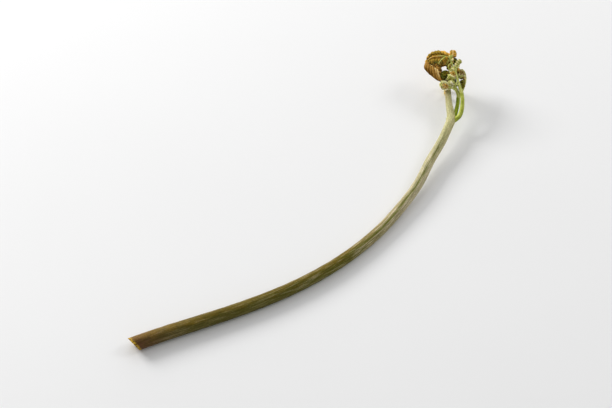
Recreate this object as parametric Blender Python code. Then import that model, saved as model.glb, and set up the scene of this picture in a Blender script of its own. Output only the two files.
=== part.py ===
"""A young bracken shoot, cut off at its foot and lying on a table.

The shoot is one long bent stipe. At its top it forks into the main rachis and two side stalks, and
each of the three ends in a crozier: a frond tip that is still curled up, with its leaflets rolled
tight against it in two rows. Units are metres and +Z is up. The shoot lies on the plane Z = 0, with
the origin under the middle of its box, and +X runs from the cut foot to the curled head.
"""

import bmesh
import bpy
import numpy as np

MM = 0.001

# The stipe lies along a curve whose heading, in degrees from +X, is a cubic of t, the share of its
# length: HEADING[0] + HEADING[1] t + HEADING[2] t^2 + HEADING[3] t^3.
STIPE_LENGTH = 206.6 * MM
STIPE_HEADING = (-24.7, -55.85, 240.46, -142.93)
FOOT_RADIUS = 3.35 * MM
FORK_RADIUS = 2.15 * MM
PRESSED_FLAT = 0.22 * MM
LIFT_FROM = 0.6
FORK_LIFT = 5.1 * MM
LIFT_POWER = 1.6
SWELLING = 0.1 * MM
SWELLING_REACH = 4.5 * MM
RACHIS_RADIUS = 1.42 * MM

# Below the fork the stipe sways to its left and back: a wave with its crest at a share of its
# length, which dies away on both sides of it.
SWAY = 0.5 * MM
SWAY_AT = 0.86
SWAY_WAVE = 0.2
SWAY_REACH = 0.11

# The cut at the foot leans: it reaches this far back for each unit up and each unit to the left.
CUT_BACK_PER_UP = 0.38
CUT_BACK_PER_LEFT = 0.30
CUT_FADES_OVER = 9.0 * MM

# Where the foot's axis starts, so that the whole shoot is centred over the origin.
FOOT_AT = (-113.0 * MM, 20.91 * MM)

# The head's own frame starts at the fork: u goes across, v along the main rachis, w out of it.
HEAD_HEADING = np.radians(40.0)
HEAD_RISE = np.radians(15.0)

STIPE_SIDES = 18
STIPE_RINGS = 42
STEPS_PER_RING = 20
RACHIS_RINGS = 9
STALK_SIDES = 10
STALK_RINGS = 16
CURL_SIDES = 8
CURL_RINGS = 8
CURL_RINGS_PER_PAIR = 2
LEAFLET_SIDES = 5
LEAFLET_RINGS = 4
GAP = 0.3 * MM
TABLE_DEPTH = 8.0 * MM
TABLE_HALF_SIDE = 150.0 * MM

# Routes in the head's frame, in millimetres as (u, v, w).
MAIN_RACHIS = ((-0.4, 4.1, 0), (-0.9, 8.7, 0), (-1.1, 13.2, 0), (-1.1, 17.3, 0), (-1.0, 19.7, 0))
UPPER_STALK = ((-0.4, -1.6, 0.1), (1.8, -0.4, 0.5), (4.0, 1.5, 1.0), (5.3, 5.5, 1.6), (5.7, 10.3, 2.2),
               (5.3, 13.9, 2.8))
LOWER_STALK = ((0.3, -0.6, -0.6), (1.7, 2.4, -1.2), (2.8, 6.1, -1.6), (3.7, 10.0, -1.6),
               (4.0, 13.4, -1.5))

# Each curl: its route, the heart that it wraps round, the radii of its rachis, the radius of its
# leafy body, the share of the route where the leaves start, and its pairs of leaflets.
TERMINAL_CURLS = (
    dict(route=((-1.2, 18.2, 0), (-1.6, 21.2, 0.3), (-5.0, 22.8, 1.0), (-8.9, 24.6, 2.0),
                (-11.7, 26.9, 2.6), (-12.4, 28.9, 2.6), (-11.5, 30.7, 1.7)),
         heart=(-6.5, 29.4, 0.2), rachis=(1.35, 0.5), body=2.4, leafy_from=0.24, pairs=8),
    dict(route=((-0.7, 20.6, 0.4), (0.3, 24.0, 1.2), (-0.9, 26.7, 2.2), (-3.3, 26.7, 2.8),
                (-4.8, 24.4, 3.1), (-4.0, 22.4, 3.3)),
         heart=(-2.4, 24.3, 2.2), rachis=(0.8, 0.4), body=0.95, leafy_from=0.25, pairs=4),
)
UPPER_CURLS = (
    dict(route=((5.6, 12.4, 2.6), (5.2, 14.1, 2.8), (4.1, 18.1, 3.6), (3.4, 22.7, 4.0), (2.2, 27.4, 4.1),
                (0.7, 31.4, 4.3), (-1.1, 33.6, 4.4), (-4.0, 34.9, 4.1), (-7.3, 35.1, 3.4),
                (-9.8, 34.1, 2.3), (-11.0, 32.8, 0.9), (-10.4, 32.2, -0.6)),
         heart=(-4.6, 32.8, -1.6), rachis=(0.8, 0.4), body=2.5, leafy_from=0.6, pairs=8),
    dict(route=((1.4, 29.7, 4.0), (-1.0, 31.8, 4.9), (-3.2, 31.5, 5.1), (-5.0, 29.4, 4.2)),
         heart=(-2.0, 29.6, 1.6), rachis=(0.5, 0.35), body=1.2, leafy_from=0.2, pairs=3),
    dict(route=((2.2, 28.2, 3.9), (1.9, 32.4, 4.3), (2.2, 35.9, 4.3), (2.4, 38.2, 3.4), (2.5, 39.3, 2.0)),
         heart=(2.4, 35.0, 0.6), rachis=(0.55, 0.35), body=1.0, leafy_from=0.25, pairs=4),
    dict(route=((3.1, 24.1, 3.8), (4.4, 28.1, 3.8), (5.3, 31.3, 3.4), (5.8, 32.9, 2.4)),
         heart=(4.8, 30.0, 0.6), rachis=(0.5, 0.35), body=0.65, leafy_from=0.35, pairs=3),
    dict(route=((3.4, 22.3, 3.8), (1.6, 22.1, 4.5), (0.6, 23.6, 4.7), (1.1, 25.4, 4.1)),
         heart=(2.0, 24.4, 3.0), rachis=(0.5, 0.4), body=0.6, leafy_from=0.3, pairs=2),
)
LOWER_CURLS = (
    dict(route=((4.0, 12.6, -1.5), (3.5, 14.0, 0.2), (2.0, 14.8, 2.4), (-0.6, 14.9, 3.8), (-3.1, 15.5, 4.3),
                (-4.5, 17.2, 4.2), (-4.2, 19.2, 3.9), (-2.6, 20.2, 3.5)),
         heart=(-2.0, 18.0, 2.4), rachis=(0.85, 0.45), body=1.15, leafy_from=0.4, pairs=4),
    dict(route=((2.4, 14.9, 1.6), (1.9, 16.0, 3.4), (1.0, 17.8, 4.3), (-0.2, 19.6, 4.4), (-0.6, 20.9, 3.6)),
         heart=(0.2, 17.8, 1.6), rachis=(0.6, 0.4), body=0.85, leafy_from=0.25, pairs=3),
    dict(route=((4.0, 12.4, -1.5), (5.0, 14.9, -1.4), (6.5, 17.1, -1.0), (7.9, 19.8, -0.5), (8.5, 23.2, 0.0),
                (7.8, 26.2, 0.4), (5.9, 27.3, 0.8), (4.2, 25.9, 1.0), (4.1, 23.6, 1.0)),
         heart=(6.0, 24.4, 0.4), rachis=(0.8, 0.4), body=1.0, leafy_from=0.42, pairs=5),
    dict(route=((4.0, 12.4, -1.5), (4.3, 16.0, -2.2), (3.6, 18.8, -3.2), (2.0, 21.4, -3.4),
                (0.2, 24.0, -3.6), (-0.7, 26.7, -5.9), (-0.9, 27.3, -9.3), (-0.9, 25.3, -12.1),
                (-0.9, 22.6, -13.0), (-0.9, 19.9, -11.5), (-0.9, 18.9, -9.0)),
         heart=(-0.8, 22.9, -8.6), rachis=(0.8, 0.5), body=0.9, leafy_from=0.4, pairs=7),
)

# The radii of the two side stalks, at the fork and at their croziers, in millimetres.
UPPER_STALK_RADII = (1.25, 0.9)
LOWER_STALK_RADII = (1.15, 0.95)

# The leafy body and the leaflets, as shares of the body's radius, of a turn round it and of the
# distance from one pair to the next. A leaflet is thinner at its ends.
BODY_AT_ENDS = 0.45
FIRST_PAIR_AT = 0.35
LEAFLET_AT_ENDS = 0.45
LEAFLET_FROM = np.radians(22.0)
LEAFLET_TO = np.radians(165.0)
LEAFLET_LEAN = 0.88
LEAFLET_WIDTH = 0.62
LEAFLET_RADIUS_MOST = 1.12 * MM


def clear_scene():
    for obj in list(bpy.data.objects):
        bpy.data.objects.remove(obj, do_unlink=True)


def material(name, colour, roughness):
    made = bpy.data.materials.new(name)
    made.use_nodes = True
    shader = made.node_tree.nodes["Principled BSDF"]
    shader.inputs["Base Color"].default_value = (*colour, 1.0)
    shader.inputs["Roughness"].default_value = roughness
    shader.inputs["Metallic"].default_value = 0.0
    return made


def unit(vectors):
    return vectors / np.linalg.norm(vectors, axis=-1, keepdims=True)


def smooth_route(points, count):
    """A Catmull-Rom curve through the given points, as `count` points evenly spaced along it."""
    points = np.array(points, float)
    padded = np.vstack([2 * points[0] - points[1], points, 2 * points[-1] - points[-2]])
    t = np.linspace(0.0, 1.0, STEPS_PER_RING, endpoint=False)[:, None]
    pieces = []
    for p0, p1, p2, p3 in zip(padded, padded[1:], padded[2:], padded[3:]):
        pieces.append(
            p1
            + 0.5 * (p2 - p0) * t
            + (p0 - 2.5 * p1 + 2 * p2 - 0.5 * p3) * t**2
            + (1.5 * p1 - 0.5 * p0 - 1.5 * p2 + 0.5 * p3) * t**3
        )
    dense = np.vstack(pieces + [points[-1:]])
    run = np.concatenate([[0.0], np.cumsum(np.linalg.norm(np.diff(dense, axis=0), axis=1))])
    return at_shares(dense, run / run[-1], np.linspace(0.0, 1.0, count))


def at_shares(values, shares, wanted):
    """The rows of `values`, known at `shares`, read at the wanted shares by straight interpolation."""
    return np.column_stack([np.interp(wanted, shares, column) for column in values.T])


def stipe_axis(count):
    """Points down the middle of the stipe, from the cut foot to the fork, and their radii."""
    t = np.linspace(0.0, 1.0, STEPS_PER_RING * (count - 1) + 1)
    heading = np.radians(np.polyval(STIPE_HEADING[::-1], t))
    step = STIPE_LENGTH / (len(t) - 1)
    x = FOOT_AT[0] + np.concatenate([[0.0], np.cumsum(np.cos(heading[1:]) * step)])
    y = FOOT_AT[1] + np.concatenate([[0.0], np.cumsum(np.sin(heading[1:]) * step)])
    radius = FOOT_RADIUS - (FOOT_RADIUS - FORK_RADIUS) * t
    rise = np.clip((t - LIFT_FROM) / (1 - LIFT_FROM), 0.0, 1.0) ** LIFT_POWER
    z = radius - PRESSED_FLAT + FORK_LIFT * rise
    past = t - SWAY_AT
    sway = SWAY * np.cos(2 * np.pi * past / SWAY_WAVE) * np.exp(-((past / SWAY_REACH) ** 2))
    x = x - sway * np.sin(heading)
    y = y + sway * np.cos(heading)
    return np.column_stack([x, y, z])[::STEPS_PER_RING], radius[::STEPS_PER_RING]


def head_points(points):
    """Points of the head's frame, in millimetres, as places in the part."""
    heading, rise = HEAD_HEADING, HEAD_RISE
    across = np.array([np.sin(heading), -np.cos(heading), 0.0])
    along = np.array([np.cos(heading) * np.cos(rise), np.sin(heading) * np.cos(rise), np.sin(rise)])
    out = np.cross(across, along)
    fork = stipe_axis(STIPE_RINGS)[0][-1]
    return fork + MM * (np.array(points, float) @ np.array([across, along, out]))


def tube(points, radii, facing, sides):
    """A tube as a dictionary: the points along it, a radius at each, and what its first side faces."""
    tangents = unit(np.gradient(points, axis=0))
    facing = np.broadcast_to(facing, points.shape)
    normals = unit(facing - (facing * tangents).sum(axis=1, keepdims=True) * tangents)
    return dict(points=points, radii=np.broadcast_to(radii, len(points)), tangents=tangents,
                normals=normals, sides=sides, shift=np.zeros((len(points), sides)))


def swollen(one, by):
    """The same tube, larger by the given distance all over."""
    grown = dict(one)
    grown["radii"] = one["radii"] + by
    grown["points"] = one["points"].copy()
    grown["points"][0] -= by * one["tangents"][0]
    grown["points"][-1] += by * one["tangents"][-1]
    return grown


def tube_mesh(name, one, on_table=False):
    """A ring of corners round each point, and a fan over each end. It may be pressed flat at Z = 0."""
    turn = np.linspace(0.0, 2 * np.pi, one["sides"], endpoint=False)
    sideways = np.cross(one["tangents"], one["normals"])
    ring = np.cos(turn)[:, None] * one["normals"][:, None] + np.sin(turn)[:, None] * sideways[:, None]
    corners = one["points"][:, None] + one["radii"][:, None, None] * ring
    corners = corners + one["shift"][:, :, None] * one["tangents"][:, None]
    ends = np.array([corners[0].mean(axis=0), corners[-1].mean(axis=0)])
    corners = np.vstack([corners.reshape(-1, 3), ends])
    if on_table:
        corners[:, 2] = np.maximum(corners[:, 2], 0.0)
    sides, count = one["sides"], len(one["points"])
    first_end, last_end = sides * count, sides * count + 1
    faces = []
    for k in range(sides):
        after = (k + 1) % sides
        faces.append((first_end, after, k))
        for i in range(count - 1):
            low, high = i * sides, (i + 1) * sides
            faces.append((low + k, low + after, high + after, high + k))
        faces.append((last_end, (count - 1) * sides + k, (count - 1) * sides + after))
    mesh = bpy.data.meshes.new(name)
    mesh.from_pydata(corners.tolist(), [], faces)
    return mesh


def table_mesh():
    """A slab under Z = 0, which takes off what would sink into the table."""
    mesh = bpy.data.meshes.new("table")
    shape = bmesh.new()
    bmesh.ops.create_cube(shape, size=1.0)
    bmesh.ops.scale(shape, verts=shape.verts, vec=(2 * TABLE_HALF_SIDE, 2 * TABLE_HALF_SIDE, TABLE_DEPTH))
    bmesh.ops.translate(shape, verts=shape.verts, vec=(0.0, 0.0, -TABLE_DEPTH / 2))
    shape.to_mesh(mesh)
    shape.free()
    return mesh


def combine(obj, meshes, operation, solver):
    """One Boolean of the object with a collection of the meshes, applied, with the collection removed.

    On the croziers, where many small tubes cross, the exact solver leaves skins that touch each
    other, so those are given to the manifold solver.
    """
    helpers = bpy.data.collections.new("helpers")
    for mesh in meshes:
        helpers.objects.link(bpy.data.objects.new("helper", mesh))
    modifier = obj.modifiers.new("combine", "BOOLEAN")
    modifier.operation = operation
    modifier.operand_type = "COLLECTION"
    modifier.collection = helpers
    modifier.solver = solver
    bpy.context.view_layer.update()
    graph = bpy.context.evaluated_depsgraph_get()
    result = bpy.data.meshes.new_from_object(obj.evaluated_get(graph))
    obj.modifiers.clear()
    obj.data = result
    for helper in list(helpers.objects):
        bpy.data.objects.remove(helper, do_unlink=True)
    bpy.data.collections.remove(helpers)


def keep_outer_skin(mesh):
    """Keeps the largest closed skin: sealed hollows are filled, and loose scraps are dropped."""
    shape = bmesh.new()
    shape.from_mesh(mesh)
    bmesh.ops.triangulate(shape, faces=shape.faces)
    unseen = set(shape.faces)
    skins = []
    while unseen:
        skin = {unseen.pop()}
        to_visit = list(skin)
        while to_visit:
            for edge in to_visit.pop().edges:
                if len(edge.link_faces) == 2:
                    fresh = [face for face in edge.link_faces if face in unseen]
                    unseen.difference_update(fresh)
                    skin.update(fresh)
                    to_visit.extend(fresh)
        skins.append(skin)
    largest = max(skins, key=len)
    bmesh.ops.delete(shape, geom=[face for face in shape.faces if face not in largest], context="FACES")
    shape.to_mesh(mesh)
    shape.free()


def place(name, mesh, finish):
    obj = bpy.data.objects.new(name, mesh)
    bpy.context.scene.collection.objects.link(obj)
    mesh.materials.clear()
    mesh.materials.append(finish)
    return obj


def finish_shading(obj):
    obj.data.shade_smooth()
    obj.data.set_sharp_from_angle(angle=np.radians(50.0))


def curl_tubes(route, heart, rachis, body, leafy_from, pairs):
    """A curled frond tip: its rachis, a body on the inner side of the curl, and two rows of leaflets.

    The rachis faces away from the heart all along. Each leaflet starts beside it and wraps round the
    body towards the inner side, leaning forwards as it goes.
    """
    count = CURL_RINGS + CURL_RINGS_PER_PAIR * pairs
    points = smooth_route(head_points(route), count)
    away = points - head_points([heart])[0]
    share = np.linspace(0.0, 1.0, count)
    stem = tube(points, MM * np.linspace(rachis[0], rachis[1], count), away, CURL_SIDES)
    leafy = np.clip((share - leafy_from) / (1 - leafy_from), 0.0, 1.0)
    plump = BODY_AT_ENDS + (1 - BODY_AT_ENDS) * np.sin(np.pi * leafy**0.8)
    radii = MM * body * plump
    centres = points - radii[:, None] * stem["normals"]
    on_body = share > leafy_from
    tubes = [stem, tube(centres[on_body], radii[on_body], away[on_body], CURL_SIDES)]
    length = np.linalg.norm(np.diff(points[on_body], axis=0), axis=1).sum()
    sideways = np.cross(stem["tangents"], stem["normals"])
    wrap = np.linspace(LEAFLET_FROM, LEAFLET_TO, LEAFLET_RINGS)
    thickness = min(LEAFLET_WIDTH * length / pairs, LEAFLET_RADIUS_MOST)
    plump = np.sin(np.pi * np.linspace(0.12, 0.9, LEAFLET_RINGS))
    thickness = thickness * (LEAFLET_AT_ENDS + (1 - LEAFLET_AT_ENDS) * plump)
    for i in range(pairs):
        start = (i + FIRST_PAIR_AT) / pairs
        lean = LEAFLET_LEAN / pairs * (wrap - LEAFLET_FROM) / (LEAFLET_TO - LEAFLET_FROM)
        wanted = leafy_from + (1 - leafy_from) * np.minimum(start + lean, 1.0)
        middle = at_shares(centres, share, wanted)
        back = unit(at_shares(stem["normals"], share, wanted))
        side = unit(at_shares(sideways, share, wanted))
        around = np.interp(wanted, share, radii)
        for hand in (-1, 1):
            outwards = np.cos(wrap)[:, None] * back + hand * np.sin(wrap)[:, None] * side
            path = middle + around[:, None] * outwards
            tubes.append(tube(path, thickness, outwards, LEAFLET_SIDES))
    return tubes


def fused(name, tubes, finish, clear_of=(), on_table=False, solver="EXACT"):
    """One closed body made of the tubes, cut clear of its neighbours' tubes."""
    obj = place(name, tube_mesh(name, tubes[0]), finish)
    if len(tubes) > 1:
        combine(obj, [tube_mesh("helper", one) for one in tubes[1:]], "UNION", solver)
    cutters = [tube_mesh("cutter", swollen(one, GAP)) for one in clear_of]
    if on_table:
        cutters.append(table_mesh())
    if cutters:
        combine(obj, cutters, "DIFFERENCE", solver)
    keep_outer_skin(obj.data)
    obj.data.materials.clear()
    obj.data.materials.append(finish)
    finish_shading(obj)
    return obj


def stipe_tube():
    """The stipe and the main rachis as one tube, with its leaning cut and the swelling at the fork."""
    axis, radii = stipe_axis(STIPE_RINGS)
    rachis = smooth_route(np.vstack([axis[-2:], head_points(MAIN_RACHIS)]), RACHIS_RINGS + 2)[2:]
    points = np.vstack([axis, rachis])
    to_go = np.linspace(1.0, 0.0, RACHIS_RINGS + 1)[1:]
    thinning = RACHIS_RADIUS + (FORK_RADIUS - RACHIS_RADIUS) * to_go**2
    radii = np.concatenate([radii, thinning])
    run = np.concatenate([[0.0], np.cumsum(np.linalg.norm(np.diff(points, axis=0), axis=1))])
    from_fork = run - run[len(axis) - 1]
    radii = radii + SWELLING * np.exp(-((from_fork / SWELLING_REACH) ** 2))
    one = tube(points, radii, (0.0, 0.0, 1.0), STIPE_SIDES)
    turn = np.linspace(0.0, 2 * np.pi, STIPE_SIDES, endpoint=False)
    up, left = np.cos(turn) * FOOT_RADIUS, -np.sin(turn) * FOOT_RADIUS
    back = CUT_BACK_PER_UP * up + CUT_BACK_PER_LEFT * left
    one["shift"] = -back * np.clip(1.0 - run / CUT_FADES_OVER, 0.0, 1.0)[:, None]
    return one


def stalk_tube(route, radii):
    """A side stalk, from inside the stipe at the fork to the foot of its crozier."""
    points = smooth_route(head_points(route), STALK_RINGS)
    out = head_points([(0, 0, 1)])[0] - head_points([(0, 0, 0)])[0]
    return tube(points, MM * np.linspace(radii[0], radii[1], STALK_RINGS), out, STALK_SIDES)


def build_shoot():
    stipe = stipe_tube()
    upper_stalk = stalk_tube(UPPER_STALK, UPPER_STALK_RADII)
    lower_stalk = stalk_tube(LOWER_STALK, LOWER_STALK_RADII)
    terminal = [one for curl in TERMINAL_CURLS for one in curl_tubes(**curl)]
    upper = [one for curl in UPPER_CURLS for one in curl_tubes(**curl)]
    lower = [one for curl in LOWER_CURLS for one in curl_tubes(**curl)]

    olive = material("olive_stipe_skin", (0.17, 0.13, 0.022), 0.5)
    green = material("bright_green_stalk_skin", (0.30, 0.36, 0.03), 0.45)
    leaf_green = material("grass_green_stalk_skin", (0.19, 0.27, 0.012), 0.45)
    golden = material("golden_brown_leaflets", (0.31, 0.17, 0.02), 0.75)
    brown = material("rust_brown_leaflets", (0.24, 0.11, 0.02), 0.75)
    pale = material("pale_green_leaflets", (0.42, 0.38, 0.14), 0.7)

    body = place("stipe", tube_mesh("stipe", stipe, on_table=True), olive)
    finish_shading(body)
    fused("upper_pinna_stalk", [upper_stalk], green, [stipe])
    fused("lower_pinna_stalk", [lower_stalk], leaf_green, [stipe, upper_stalk])
    fused("terminal_crozier", terminal, brown, [stipe, upper_stalk], solver="MANIFOLD")
    fused("upper_pinna_crozier", upper, golden,
          [stipe, upper_stalk, lower_stalk] + terminal, solver="MANIFOLD")
    fused("lower_pinna_crozier", lower, pale,
          [stipe, upper_stalk, lower_stalk] + terminal + upper, on_table=True, solver="MANIFOLD")


clear_scene()
build_shoot()
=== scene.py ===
# %% [markdown]
# # A cut bracken shoot
# A young bracken shoot is one long stalk, the stipe, that forks near its top into three thin stalks.
# Each of those ends in a crozier, which is a frond tip that is still rolled up. This lesson dresses a
# solid model of such a shoot, cut off at its foot and lying on a table. The solids give every place
# and size, and each step below puts a finer surface where one of them is. The surfaces could be
# sculpted by hand, but here a shape is a formula of two parameters, worked out for a whole grid of
# points at once, so it can be read, changed and run again.

# %% Load the solids
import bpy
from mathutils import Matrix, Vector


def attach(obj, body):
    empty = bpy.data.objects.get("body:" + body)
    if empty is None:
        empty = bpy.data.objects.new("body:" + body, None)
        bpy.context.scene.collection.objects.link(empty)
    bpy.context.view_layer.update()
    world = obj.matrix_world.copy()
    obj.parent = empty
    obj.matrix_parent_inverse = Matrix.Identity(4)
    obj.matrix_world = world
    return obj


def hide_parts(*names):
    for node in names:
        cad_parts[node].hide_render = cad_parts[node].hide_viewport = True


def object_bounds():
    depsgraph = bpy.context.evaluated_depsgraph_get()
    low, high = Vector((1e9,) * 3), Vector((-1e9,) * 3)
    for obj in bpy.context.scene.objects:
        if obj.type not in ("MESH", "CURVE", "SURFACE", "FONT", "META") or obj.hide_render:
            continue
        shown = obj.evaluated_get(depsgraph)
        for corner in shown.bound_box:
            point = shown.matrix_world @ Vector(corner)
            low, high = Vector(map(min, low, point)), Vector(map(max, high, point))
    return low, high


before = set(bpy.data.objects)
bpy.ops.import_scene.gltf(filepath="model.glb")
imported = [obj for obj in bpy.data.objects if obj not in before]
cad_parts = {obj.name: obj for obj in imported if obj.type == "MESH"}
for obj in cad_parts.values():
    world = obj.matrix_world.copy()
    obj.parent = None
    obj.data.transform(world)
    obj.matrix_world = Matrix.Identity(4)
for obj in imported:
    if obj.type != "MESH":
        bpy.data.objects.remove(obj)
solid_box = [list(corner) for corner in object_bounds()]

import bpy
import numpy as np
from mathutils import Vector

MM = 0.001
print("solids:", sorted(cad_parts))
print("box in mm:", np.round(np.array(solid_box) / MM, 2).tolist())

# %% [markdown]
# ## The camera
# The photograph looks down on the table at about 50 degrees with a long lens, and the shoot runs from
# the lower left to the upper right. The camera could be placed by eye, but then a change of one
# number moves everything. Here it stands on a sphere round the point of the table in the middle of
# the picture, so the elevation, the turn and the distance can each be changed alone.

# %% Camera
VIEW_CENTRE = np.array([-0.78, 16.31, 0.0]) * MM
VIEW_ELEVATION = np.radians(50.0)
VIEW_TURN = np.radians(-50.0)
VIEW_DISTANCE = 690.0 * MM
LENS_MM = 85.0
SENSOR_MM = 36.0


def seen_from(towards, up):
    """A direction given as the viewer sees it, as (right, away, up), turned into the row frame."""
    cos, sin = np.cos(VIEW_TURN), np.sin(VIEW_TURN)
    return np.array([cos * towards[0] - sin * towards[1], sin * towards[0] + cos * towards[1], up])


def aim(obj, place, target):
    """Puts a camera or a light at a place and turns it to look at the target."""
    obj.location = place
    obj.rotation_euler = Vector(np.subtract(target, place)).to_track_quat("-Z", "Y").to_euler()
    bpy.context.scene.collection.objects.link(obj)


camera = bpy.data.objects.new("camera", bpy.data.cameras.new("camera"))
camera.data.lens = LENS_MM
camera.data.sensor_width = SENSOR_MM
camera.data.clip_start = 0.01
to_viewer = seen_from((0.0, -np.cos(VIEW_ELEVATION)), np.sin(VIEW_ELEVATION))
aim(camera, VIEW_CENTRE + VIEW_DISTANCE * to_viewer, VIEW_CENTRE)
bpy.context.scene.camera = camera
print("camera at", np.round(np.array(camera.location), 3).tolist())

# %% [markdown]
# ## Curves and frames
# Everything on a fern is a tube of some kind: the stipe, the stalks, the midribs and even the rolled
# leaflets. Blender can bevel a curve, but its tube has the same outline all the way. A tube carried
# along a path by numpy can have any outline at any point, so grooves, ridges and beads are part of
# its shape. That takes a smooth curve through a few points, and a frame of three directions on it.

# %% Curves and frames
WAVELENGTH_SPREAD = (0.6, 1.6)


def unit(vectors):
    """Each vector divided by its own length."""
    return vectors / np.linalg.norm(vectors, axis=-1, keepdims=True)


def smoothstep(x):
    """0 below 0, 1 above 1, and 3x^2 - 2x^3 between them, so it starts and ends level."""
    x = np.clip(x, 0.0, 1.0)
    return x * x * (3.0 - 2.0 * x)


def turns(sides):
    """As many angles as there are sides, evenly spaced over one full turn."""
    return np.linspace(0.0, 2 * np.pi, sides, endpoint=False)


def turn_from(centre, turn):
    """How far a turn is from a centre, the short way round, between minus pi and pi."""
    return (turn - centre + np.pi) % (2 * np.pi) - np.pi


def bell(x, reach):
    """A soft bump: e to the power of minus (x / reach) squared, so 1 at 0 and almost 0 past 2 reaches."""
    return np.exp(-((x / reach) ** 2))


def distances(points):
    """How far along the path each point is, as the running sum of the steps between them."""
    return np.concatenate([[0.0], np.cumsum(np.linalg.norm(np.diff(points, axis=0), axis=1))])


def at_shares(values, shares, wanted):
    """The rows of values, known at the shares, read at the wanted shares by straight interpolation."""
    return np.column_stack([np.interp(wanted, shares, column) for column in values.T])


def smooth_route(points, count, steps=20):
    """A Catmull-Rom curve through the points: each stretch is the cubic that leaves each of its two
    ends in the direction from the point before that end to the point after it."""
    points = np.array(points, float)
    padded = np.vstack([2 * points[0] - points[1], points, 2 * points[-1] - points[-2]])
    t = np.linspace(0.0, 1.0, steps, endpoint=False)[:, None]
    p0, p1, p2, p3 = (padded[k:len(padded) - 3 + k, None] for k in range(4))
    square = (p0 - 2.5 * p1 + 2 * p2 - 0.5 * p3) * t**2
    cube = (1.5 * p1 - 0.5 * p0 - 1.5 * p2 + 0.5 * p3) * t**3
    dense = np.vstack([(p1 + 0.5 * (p2 - p0) * t + (square + cube)).reshape(-1, 3), points[-1:]])
    run = distances(dense)
    return at_shares(dense, run / run[-1], np.linspace(0.0, 1.0, count))


def carried_frame(points, facing):
    """Three directions at each point: along the path, the facing direction made square to it, and
    their cross product, which points sideways."""
    along = unit(np.gradient(points, axis=0))
    facing = np.broadcast_to(facing, points.shape)
    normal = unit(facing - (facing * along).sum(axis=1, keepdims=True) * along)
    return along, normal, np.cross(along, normal)


def rounded_ends(share, first, last):
    """A factor that is 1 along the middle and falls to nearly 0 at both ends as a quarter circle
    does, over the first and the last share of the length."""
    start = np.clip(1.0 - share / first, 0.0, 0.995) if first else 0.0
    end = np.clip((share - 1.0 + last) / last, 0.0, 0.995)
    return np.sqrt(1.0 - start**2) * np.sqrt(1.0 - end**2)


def ripples(place, wavelength, seed, waves=18):
    """A soft random pattern, mostly between -2 and 2: the sum of plane waves in random directions, with
    wavelengths near the one given, over the root of their number. A place is (x, y, z)."""
    random = np.random.default_rng(seed)
    directions = unit(random.normal(size=(waves, 3)))
    directions = directions / (wavelength * random.uniform(*WAVELENGTH_SPREAD, (waves, 1)))
    phases = random.uniform(0.0, 2 * np.pi, waves)
    return np.cos(2 * np.pi * place @ directions.T + phases).sum(axis=-1) / np.sqrt(waves)


# %% [markdown]
# ## From grids to meshes
# A skin is a grid of corners: one ring for each point along a path. Beside each corner go two things
# that the materials read. Its place is where it would be if the tube were pulled straight, in metres,
# so a streak that is long in X follows every bend. Its look is three shares that each step below
# gives its own meaning, such as how far along a leaflet it is and how deep in a cleft.

# %% From grids to meshes
SHARP_EDGE = np.radians(60.0)


def swept(points, facing, radius, look, kind=0):
    """A skin carried along a path: corner = point + radius (cos(turn) normal + sin(turn) sideways).
    The radius is a grid, with a row for each point and a column for each turn round the path."""
    turn = turns(radius.shape[1])
    _, normal, sideways = carried_frame(points, facing)
    outwards = np.cos(turn)[:, None] * normal[:, None] + np.sin(turn)[:, None] * sideways[:, None]
    run = np.broadcast_to(distances(points)[:, None], radius.shape)
    place = np.stack([run, radius * np.cos(turn), radius * np.sin(turn)], axis=-1)
    look = np.stack([np.broadcast_to(part, radius.shape) for part in look], axis=-1)
    corners = points[:, None] + radius[..., None] * outwards
    return dict(corners=corners, place=place, look=look, kind=kind)


def closed_faces(rings, sides):
    """Squares between neighbouring rings, and a fan of triangles from a middle point over each end."""
    here = np.arange(sides)
    after = (here + 1) % sides
    low = np.arange(rings - 1)[:, None] * sides
    squares = np.stack([low + here, low + after, low + sides + after, low + sides + here], axis=-1)
    last = (rings - 1) * sides
    middle = np.full(sides, rings * sides)
    first_fan = np.stack([middle, after, here], axis=-1)
    last_fan = np.stack([middle + 1, last + here, last + after], axis=-1)
    return squares.reshape(-1, 4), np.vstack([first_fan, last_fan])


def with_middles(grid):
    """A grid's rows in one list, with the means of its first and last rings after them."""
    return np.vstack([grid.reshape(-1, 3), grid[0].mean(axis=0), grid[-1].mean(axis=0)])


def new_object(name, mesh):
    """An object of its own for a mesh, at the origin."""
    obj = bpy.data.objects.new(name, mesh)
    bpy.context.scene.collection.objects.link(obj)
    return obj


def sew(name, skins, materials, replaces):
    """Makes one object of closed skins, lets it ride on the shoot, and reports its triangles. A
    skin's kind is the number of its material, or one number for each of its squares."""
    squares, fans, square_kinds, fan_kinds, total = [], [], [], [], 0
    for skin in skins:
        rings, sides = skin["corners"].shape[:2]
        some_squares, some_fans = closed_faces(rings, sides)
        squares.append(some_squares + total)
        fans.append(some_fans + total)
        square_kinds.append(np.broadcast_to(skin["kind"], len(some_squares)))
        fan_kinds.append(np.repeat(np.ravel(skin["kind"])[[0, -1]], sides))
        total += rings * sides + 2
    corners = np.vstack([with_middles(skin["corners"]) for skin in skins])
    mesh = bpy.data.meshes.new(name)
    mesh.from_pydata(corners.tolist(), [], np.vstack(squares).tolist() + np.vstack(fans).tolist())
    for layer in ("place", "look"):
        values = np.vstack([with_middles(skin[layer]) for skin in skins])
        mesh.attributes.new(layer, "FLOAT_VECTOR", "POINT").data.foreach_set("vector", values.ravel())
    for material in materials:
        mesh.materials.append(material)
    mesh.polygons.foreach_set("material_index", np.concatenate(square_kinds + fan_kinds))
    mesh.shade_smooth()
    mesh.set_sharp_from_angle(angle=SHARP_EDGE)
    obj = new_object(name, mesh)
    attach(obj, "root")
    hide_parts(replaces)
    triangles = sum(len(face.vertices) - 2 for face in mesh.polygons)
    print(f"{name}: {len(skins)} skins, {triangles} triangles")


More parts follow.
